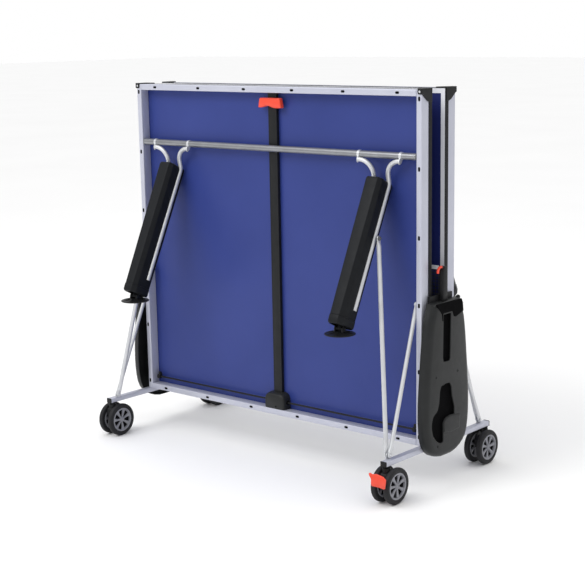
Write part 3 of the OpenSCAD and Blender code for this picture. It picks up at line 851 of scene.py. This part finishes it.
both("leg_axle_tube", crossbar, "bar_steel", "top", ["crossbar"], slot="zinc_steel")
both("axle_clips", crossbar_tabs, "zinc_steel", "top")
both("leg_pipes", leg_tubes, "zinc_steel", "legs", ["leg_tubes"])
both("leg_shrouds", leg_covers, "leg_plastic", "legs", ["leg_covers"], angle=24)
both("stay_bolts", leg_bolts, "grey_steel", "legs", slot="zinc_steel")
both("foot_pads", feet, "black_plastic", "foot_pair", ["feet"])
both("stay_tubes", stay_rods, "zinc_steel", "stay_pair", ["stay_rods"])
both("strut_tubes", struts, "zinc_steel", "strut_pair", ["struts"])

# ---- chassis ----


def cross_tubes(bm):
    for s in (-1, 1):
        bar(bm, (s * TUBE_X - 0.014, -TUBE_END, TUBE_Z), (s * TUBE_X + 0.014, TUBE_END, TUBE_Z + 0.020),
            "y", 0.0025, steps=4)


def tube_caps(bm):
    for s in (-1, 1):
        for t in (-1, 1):
            y = sorted((t * (TUBE_END - 0.0002), t * (TUBE_END + 0.0038)))
            bar(bm, (s * TUBE_X - 0.0145, y[0], TUBE_Z - 0.002),
                (s * TUBE_X + 0.0145, y[1], TUBE_Z + 0.021), "y", 0.003, 0.5)
            lathe(bm, [(0.0055, -0.0035), (0.0155, -0.0035), (0.0165, -0.0025), (0.0165, 0.0),
                    (0.0055, 0.0)], (s * TUBE_X, t * CASTOR_Y, TUBE_Z), UP, 36, closed=True)


def centre_beam(bm):
    bar(bm, (-TUBE_X + 0.014, -0.020, TUBE_Z), (TUBE_X - 0.014, 0.020, TUBE_Z + 0.018), "x", 0.0025, 0.2)


one("cross_tube_bars", cross_tubes, "silver_paint", "chassis", ["cross_tubes"])
one("tube_plugs", tube_caps, "black_plastic", "chassis", ["tube_end_caps"])
one("middle_beam", centre_beam, "silver_paint", "chassis", ["centre_beam"])

# ---- side shells ----

SHELL_X = 0.777
FACE_X = SHELL_X + 0.0385
HALF_WIDTHS = [(0.1175, 0.030), (0.124, 0.062), (0.136, 0.092), (0.152, 0.114), (0.172, 0.132),
    (0.200, 0.1440), (0.235, 0.1510), (0.275, 0.1548), (0.310, 0.1555), (0.350, 0.1548), (0.400, 0.1515),
    (0.450, 0.1468), (0.500, 0.1418), (0.550, 0.1366), (0.600, 0.1305), (0.640, 0.1245), (0.666, 0.1190),
    (0.690, 0.1110), (0.715, 0.1020), (0.737, 0.0965)]


def shell_outline():
    right = [(y, z) for z, y in HALF_WIDTHS]
    top = [(y, 0.737) for y in (0.0176, 0.0175, -0.0175, -0.0176)]
    return [Vector(p) for p in [(0, 0.1172)] + right + top + [(-y, z) for y, z in reversed(right)]]


def bat_opening():
    return rounded([(-0.0520, 0.4100), (-0.0603, 0.3900), (-0.0656, 0.3423), (-0.0760, 0.3150),
            (-0.1060, 0.2980), (-0.1170, 0.2620), (-0.1060, 0.2200), (-0.0800, 0.1930), (-0.0560, 0.1800),
            (-0.0400, 0.1800), (-0.0350, 0.1880), (-0.0360, 0.2600), (-0.0236, 0.2735), (0.0065, 0.2800),
            (0.0413, 0.2785), (0.0404, 0.3100), (0.0250, 0.3560), (0.0185, 0.3960), (0.0080, 0.4140),
            (-0.0160, 0.4155)], [0.008, 0.02, 0.03, 0.03, 0.03, 0.05, 0.04, 0.03, 0.01, 0.006, 0.006,
            0.02, 0.02, 0.02, 0.004, 0.01, 0.03, 0.02, 0.008, 0.006], 3)


def ball_opening():
    return rounded([(-0.038, 0.690), (-0.041, 0.520), (-0.036, 0.502), (0.004, 0.500), (0.010, 0.512),
            (0.014, 0.690)], [0.004, 0.01, 0.008, 0.008, 0.006, 0.004], 3)


def shell_skin(bm):
    """Outer skin: rounded from the open back to the front face, which has two openings."""
    outline = counter_clockwise(shell_outline())
    rings = []
    for x, d in ((0, 0.0035), (0, 0), (0.012, 0.0004), (0.0213, 0.0021), (0.0215, 0.0022),
            (0.028, 0.0055), (0.033, 0.0110), (0.0365, 0.0180), (0.0385, 0.0290)):
        ring = inset_outline(outline, d)
        for p, start in zip(ring, outline):
            # way out for the net post, behind the front of the shell
            if x < 0.0214 and start.y > 0.7365 and abs(start.x) < 0.01755:
                p.y = 0.6995
        rings.append([(SHELL_X + x, p.x, p.y) for p in ring])
    rows = loft(bm, rings, (False, False))
    edges = ring_edges(bm, rows[-1])
    for opening in (bat_opening(), ball_opening()):
        outer = [bm.verts.new((FACE_X, p.x, p.y)) for p in opening]
        # the edge is soft where the blade of the bat lies, and crisp elsewhere
        soft = [min(1.0, max(0.0, (-0.082 - p.x) / 0.024)) for p in opening]
        step = [bm.verts.new((FACE_X - 0.0012 - 0.0012 * f, *p.lerp(q, 0.25 + 0.3 * f))) for p, q,
            f in zip(opening, inset_outline(opening, 0.0040), soft)]
        back = [bm.verts.new((FACE_X - 0.0040 - 0.0070 * f, *p.lerp(q, 0.15 + 0.85 * f))) for p, q,
            f in zip(opening, inset_outline(opening, 0.0100), soft)]
        for a, b in ((outer, step), (step, back)):
            for i in range(len(a)):
                j = (i + 1) % len(a)
                bm.faces.new((a[i], a[j], b[j], b[i]))
        edges += ring_edges(bm, outer)
    fill(bm, edges)


def face_panel(bm, outline, depths):
    """Panel at the front face through (depth, inset) steps, with its last ring filled flat."""
    rings = [[(FACE_X + x, p.x, p.y) for p in inset_outline(outline, d)] for x, d in depths]
    rows = loft(bm, rings, (False, False))
    fill(bm, ring_edges(bm, rows[-1]))


def trays(bm):
    """Trays behind the two openings, darker than the shell: painted shade inside the pockets."""
    for opening in (bat_opening(), ball_opening()):
        depths = ((-0.0036, -0.0008), (-0.009, 0.0), (-0.0130, 0.0010), (-0.0152, 0.0030),
            (-0.0163, 0.0060))
        face_panel(bm, opening, depths)


def lip(bm):
    """Raised panel that holds the bat's blade."""
    outline = rounded([(-0.0350, 0.2195), (-0.0270, 0.2190), (0.0125, 0.2120), (0.0740, 0.2150),
            (0.0790, 0.2725), (0.0655, 0.2755), (0.040, 0.2785), (0.0065, 0.2795), (-0.0236, 0.2730),
            (-0.0356, 0.2600)], [0.003, 0.004, 0.03, 0.008, 0.006, 0.01, 0, 0.03, 0.02, 0.012], 4)
    face_panel(bm, outline, ((-0.001, 0), (0.0006, 0.0002), (0.0018, 0.0016), (0.0024, 0.0050)))


def collar(bm):
    """Faceted top of the shell, round the net post's socket."""
    outline = rounded([(-0.084, 0.7345), (-0.050, 0.690), (-0.046, 0.664), (-0.040, 0.664),
            (-0.040, 0.694), (0.022, 0.694), (0.030, 0.672), (0.046, 0.668), (0.098, 0.684),
            (0.094, 0.712), (0.086, 0.7345)], 0.003, 2)
    face_panel(bm, outline, ((-0.006, 0), (-0.0006, 0.0), (0.0016, 0.0022)))


def shell_screws(bm):
    for y, z in ((-0.0745, 0.1725), (0.060, 0.450), (-0.085, 0.450)):
        lathe(bm, [(0, -0.0020), (0.0022, -0.0020), (0.0028, 0.0004), (0.0040, 0.0006),
                (0.0046, -0.0006)], (FACE_X, y, z), ACROSS, 20)


def socket_hooks(bm):
    """Two small knobs on the rear edge of the shell."""
    for y, z, r in ((0.1140, 0.7080, 0.0115), (0.0985, 0.7360, 0.0085)):
        lathe(bm, [(0, -0.010), (r * 0.75, -0.010), (r, -0.003), (r, 0.002), (r * 0.7, r * 0.75), (0, r)],
            (SHELL_X + 0.012, y, z), (0, 1, 0.2), 28)


SHELL_PARTS = (
    ("shell_trays", trays, "flat_black_and_shade"),
    ("bat_lip", lip, "shell_plastic"),
    ("socket_collar", collar, "flat_black_and_shade"),
    ("shell_screws", shell_screws, "flat_black_and_shade"),
    ("parking_hooks", socket_hooks, "black_plastic"),
)
for side, turned in (("right", False), ("left", True)):
    one(f"{side}_shell_skin", shell_skin, "shell_plastic", "chassis", [f"{side}_shell"], turned=turned,
        slot="black_plastic", angle=28)
    for name, build, look in SHELL_PARTS:
        one(f"{side}_{name}", build, look, "chassis", turned=turned, slot="black_plastic")

# ---- net ----


LEVER_X, LEVER_Y, LEVER_Z = 0.791, -0.021, 0.870
POST_LOW = 0.7005


def post(bm):
    x0, x1, y = 0.777, 0.798, 0.0148
    outline = [(-y, POST_LOW), (y, POST_LOW), (y, 0.846)] + [(y * cos(a), 0.856 + 0.0150 * sin(a))
        for a in (pi * k / 12 for k in range(1, 12))] + [(-y, 0.846)]
    slab(bm, outline, lambda p, q, d: Vector((x0 + d, p, q)),
        [(0, 0.002), (0.002, 0), (x1 - x0 - 0.003, 0), (x1 - x0 - 0.0008, 0.0012), (x1 - x0, 0.0032)])
    lathe(bm, [(0, -0.060), (0.0054, -0.060), (0.006, -0.059), (0.006, 0.001)], (0.787, 0, POST_LOW), UP,
        28)


def posts(bm):
    post(bm)
    geom = bmesh.ops.duplicate(bm, geom=bm.verts[:] + bm.edges[:] + bm.faces[:])["geom"]
    bmesh.ops.rotate(bm, verts=[g for g in geom if isinstance(g, bmesh.types.BMVert)], cent=(0, 0, 0),
        matrix=TURN.to_3x3())
    bar(bm, (0.7825, -0.0245, 0.865), (0.7855, -0.0140, 0.874), "x", 0.0008)
    pin(bm, 0.0015, -0.007, 0.007, (0.790, LEVER_Y, LEVER_Z), ACROSS, 16)


def lever(bm):
    """Curved tension lever: a tapering hook with a thicker grip end."""
    path, radii = [], []
    for k in range(15):
        a = math.radians(80 + 112 * k / 14)
        path.append((LEVER_X, -0.024 + 0.0185 * cos(a), 0.852 + 0.0185 * sin(a)))
        radii.append(0.0034 + 0.0006 * sin(k / 14 * pi) + (0.0006 if k > 10 else 0))
    rings = []
    for i, p in enumerate(path):
        p = Vector(p)
        along = (Vector(path[min(i + 1, 14)]) - Vector(path[max(i - 1, 0)])).normalized()
        across = Vector((1, 0, 0))
        out = along.cross(across)
        rings.append([p + across * q[0] + out * q[1] for q in rounded_rect(0.0095, radii[i] * 2,
                    radii[i] * 0.8, 4)])
    loft(bm, rings)
    lathe(bm, mirrored([(0.0018, 0.0048), (0.0040, 0.0048), (0.0045, 0.004)]),
        (LEVER_X, LEVER_Y, LEVER_Z), ACROSS, 24, closed=True)


NET_X, NET_LOW, NET_HIGH = 0.777, 0.7205, 0.8550
CORD, PITCH = 0.0024, 0.0130


def net_ripple(x, z):
    return 0.0016 * noise.noise(Vector((x * 5, z * 3, 4.2))) + 0.0008 * noise.noise(Vector((x * 14, z * 9,
                1.7)))


def net_cords(bm):
    """Knotless net: one flat mesh with square holes, slightly rippled."""
    columns = round(2 * NET_X / PITCH)
    rows = round((NET_HIGH - NET_LOW) / PITCH)
    px, pz = 2 * NET_X / columns, (NET_HIGH - NET_LOW) / rows
    xs, zs = [], []
    for i in range(columns + 1):
        xs += [max(-NET_X, -NET_X + i * px - CORD / 2), min(NET_X, -NET_X + i * px + CORD / 2)]
    for i in range(rows + 1):
        zs += [max(NET_LOW, NET_LOW + i * pz - CORD / 2), min(NET_HIGH, NET_LOW + i * pz + CORD / 2)]
    grid = [[bm.verts.new((x, net_ripple(x, z), z)) for z in zs] for x in xs]
    for i in range(len(xs) - 1):
        for j in range(len(zs) - 1):
            if i % 2 and j % 2:
                continue
            bm.faces.new((grid[i][j], grid[i + 1][j], grid[i + 1][j + 1], grid[i][j + 1]))


def net_tape(bm):
    """Folded tape along the net's top edge, thicker where its cord runs."""
    rings = []
    for k in range(61):
        x = -NET_X + 2 * NET_X * k / 60
        y = net_ripple(x, NET_HIGH) * 0.5
        section = [(-0.0011, 0.8552), (-0.0012, 0.8600), (-0.0012, 0.8650), (-0.0019, 0.8672),
            (-0.0017, 0.8690), (0, 0.8699), (0.0017, 0.8690), (0.0019, 0.8672), (0.0012, 0.8650),
            (0.0012, 0.8600), (0.0011, 0.8552)]
        rings.append([(x, y + p, q) for p, q in section])
    loft(bm, rings)


one("post_housings", posts, "black_plastic", "net", ["net_posts"])
net = one("net_cords", net_cords, "net_fabric", "net", ["net_mesh"])
tape = one("net_top_tape", net_tape, "tape_fabric", "net", ["net_tape"])
one("tension_lever", lever, "orange_plastic", "net_lever", ["net_tension_lever"])

# ---- castors ----

AXLE_Z, TRAIL = 0.072, 0.020
WHEEL_X = 0.029
PEDAL_PIN = (0, -0.030, 0.106)


def sideways(p, q, d):
    """Place of a slab that lies across a castor."""
    return Vector((d, p, q))


def fork(bm):
    """Fork housing between the wheels, with a hood over the axle and a round boss on top."""
    outline = rounded([(-0.006, 0.058), (-0.020, 0.078), (-0.026, 0.100), (-0.020, 0.122),
            (-0.004, 0.131), (0.016, 0.131), (0.038, 0.122), (0.052, 0.104), (0.056, 0.082),
            (0.044, 0.078), (0.034, 0.060), (0.017, 0.052)], 0.008, 3)
    slab(bm, outline, sideways, [(-0.0155, 0.003), (-0.0135, 0), (0.0135, 0), (0.0155, 0.003)])
    ridge = rounded([(-0.020, 0.092), (-0.020, 0.118), (-0.002, 0.128), (0.018, 0.128), (0.036, 0.119),
            (0.049, 0.102), (0.051, 0.088), (0.020, 0.086)], 0.006, 3)
    slab(bm, ridge, sideways, [(-0.0170, 0.002), (-0.0160, 0), (0.0160, 0), (0.0170, 0.002)])
    lathe(bm, [(0, 0.112), (0.0160, 0.112), (0.0165, 0.126), (0.0165, 0.140), (0.0155, 0.1445),
            (0.0125, 0.1458), (0.0058, 0.1458)], (0, 0, 0), UP, 40)
    lathe(bm, [(0.0050, 0.112), (0.0050, 0.1655), (0, 0.1665)], (0, 0, 0), UP, 24)
    lathe(bm, mirrored([(0.0052, 0.0172), (0.0125, 0.0172), (0.0130, 0.0162)]), (0, TRAIL, AXLE_Z),
        ACROSS, 36, closed=True)


def braked(bm):
    fork(bm)
    pin(bm, 0.003, -0.016, 0.016, PEDAL_PIN, ACROSS, 16)
    for s in (-1, 1):
        outline = rounded([(-0.036, 0.099), (-0.012, 0.099), (-0.012, 0.113), (-0.030, 0.113),
                (-0.036, 0.110)], 0.002, 3)
        slab(bm, outline, sideways, sorted([(s * 0.0125, 0), (s * 0.0158, 0)]))


def tyres(bm):
    half = [(0.0526, 0.0098), (0.0550, 0.0108), (0.0590, 0.0110), (0.0640, 0.0109), (0.0672, 0.0102),
        (0.0697, 0.0086), (0.0711, 0.0062), (0.0718, 0.0032)]
    profile = [(r, -w) for r, w in half] + [(0.0720, 0)] + [(r, w) for r, w in half[::-1]]
    for s in (-1, 1):
        lathe(bm, profile, (s * WHEEL_X, TRAIL, AXLE_Z), ACROSS, 72, closed=True)


def rims(bm):
    for s in (-1, 1):
        centre = Vector((s * WHEEL_X, TRAIL, AXLE_Z))
        lathe(bm, mirrored([(0.0525, 0.0092), (0.0515, 0.0104), (0.0470, 0.0104), (0.0455, 0.0092),
                    (0.0445, 0.0066)]), centre, ACROSS, 72, closed=True)
        lathe(bm, mirrored([(0.0051, 0.0100), (0.0080, 0.0100), (0.0105, 0.0088), (0.0120, 0.0060)]),
            centre, ACROSS, 40, closed=True)
        for k in range(7):
            a = 2 * pi * k / 7 + 0.35
            out = Vector((0, cos(a), sin(a)))
            side = Vector((0, -sin(a), cos(a)))
            rings = []
            for r, w, d in ((0.0105, 0.0034, 0.0074), (0.0190, 0.0040, 0.0068), (0.0300, 0.0054, 0.0064),
                    (0.0400, 0.0074, 0.0068), (0.0452, 0.0090, 0.0078)):
                rings.append([centre + out * r + side * q[0] + Vector((q[1], 0, 0))
                        for q in rounded_rect(2 * w, 2 * d, 0.0020, 3)])
            loft(bm, rings)
    lathe(bm, mirrored([(0, 0.038), (0.0042, 0.038), (0.0050, 0.037)]), (0, TRAIL, AXLE_Z), ACROSS, 28)


def rim_shade_discs(bm):
    # very dark discs across the rims: painted shade in the openings between the spokes
    for s in (-1, 1):
        lathe(bm, mirrored([(0.0115, 0.0012), (0.0446, 0.0012)]), (s * WHEEL_X, TRAIL, AXLE_Z), ACROSS,
            48, closed=True)


def pedal(bm):
    """Foot pedal: a bowed plate with a horn at one upper corner, on a short arm."""
    outline = rounded([(-0.0195, 0.1380), (-0.0150, 0.1395), (-0.0060, 0.1350), (0.0120, 0.1370),
            (0.0480, 0.1330), (0.0680, 0.1260), (0.0655, 0.1100), (0.0590, 0.0880), (0.0500, 0.0845),
            (0.0250, 0.0860), (-0.0080, 0.0880), (-0.0105, 0.1000), (-0.0095, 0.1150), (-0.0175, 0.1300)],
        [0.002, 0.002, 0.008, 0.02, 0.02, 0.004, 0.03, 0.005, 0.01, 0.03, 0.004, 0.01, 0.012, 0.006], 3)
    width, bow, hollow = 0.915, 4.95, 2.6

    def bent(p, depth):
        x = -0.0255 + (p.x + 0.0195) * width
        return (x, -0.0655 - depth - bow * (p.x - 0.026) ** 2 + hollow * (p.y - 0.112) ** 2, p.y)

    rings = [[bent(p, depth) for p in inset_outline(outline, inset)]
             for depth, inset in ((0, 0.0014), (0.0012, 0.0), (0.0036, 0.0), (0.0048, 0.0014))]
    rows = loft(bm, rings, (False, False))
    for row in (rows[0], rows[-1]):
        fill(bm, ring_edges(bm, row))
    bar(bm, (-0.0095, -0.067, 0.1085), (0.0095, -0.030, 0.1125), "y", 0.0012)
    lathe(bm, mirrored([(0.0031, 0.010), (0.0064, 0.010), (0.0070, 0.009)]), PEDAL_PIN, ACROSS, 28,
        closed=True)


def castor(build, end, side):
    place = Matrix.Translation(((1 if side == "right" else -1) * TUBE_X,
            (-1 if end == "front" else 1) * CASTOR_Y, 0))
    if end == "rear":
        place = place @ TURN

    def placed(bm):
        build(bm)
        bm.transform(place)
    return placed


for end in ("front", "rear"):
    for side in ("right", "left"):
        with_brake = (end, side) in (("front", "right"), ("rear", "left"))
        where = f"{end}_{side}"
        one(f"castor_housing_{where}", castor(braked if with_brake else fork, end, side), "black_plastic",
            f"castor_{where}", [f"castor_fork_{where}"])
        one(f"castor_tyres_{where}", castor(tyres, end, side), "tyre_rubber", f"wheels_{where}",
            [f"tyres_{where}"])
        one(f"castor_rims_{where}", castor(rims, end, side), "grey_plastic", f"wheels_{where}",
            [f"rims_{where}"])
        # dark disc in each rim: painted shade between the spokes
        one(f"castor_shade_discs_{where}", castor(rim_shade_discs, end, side), "flat_black_and_shade", f"wheels_{where}",
            slot="black_plastic")
        if with_brake:
            one(f"brake_plate_{end}", castor(pedal, end, side), "orange_plastic", f"brake_{end}",
                [f"brake_pedal_{end}"], angle=50)

# ---- CAD nodes that stay as they are ----

KEPT = {"stay_brackets": "zinc_steel", "guide_tracks": "black_steel", "uprights": "silver_paint"}
for end in ("front", "rear"):
    KEPT[f"{end}_board"] = "blue_board"
    KEPT[f"{end}_guide_rollers"] = "black_steel"
for name, finish in KEPT.items():
    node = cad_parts[name]
    node.data.materials.clear()
    node.data.materials.append(MAT[finish])
    if "board" not in name:
        add_bevel(node, 0.0005)

make_camera()
make_stage()
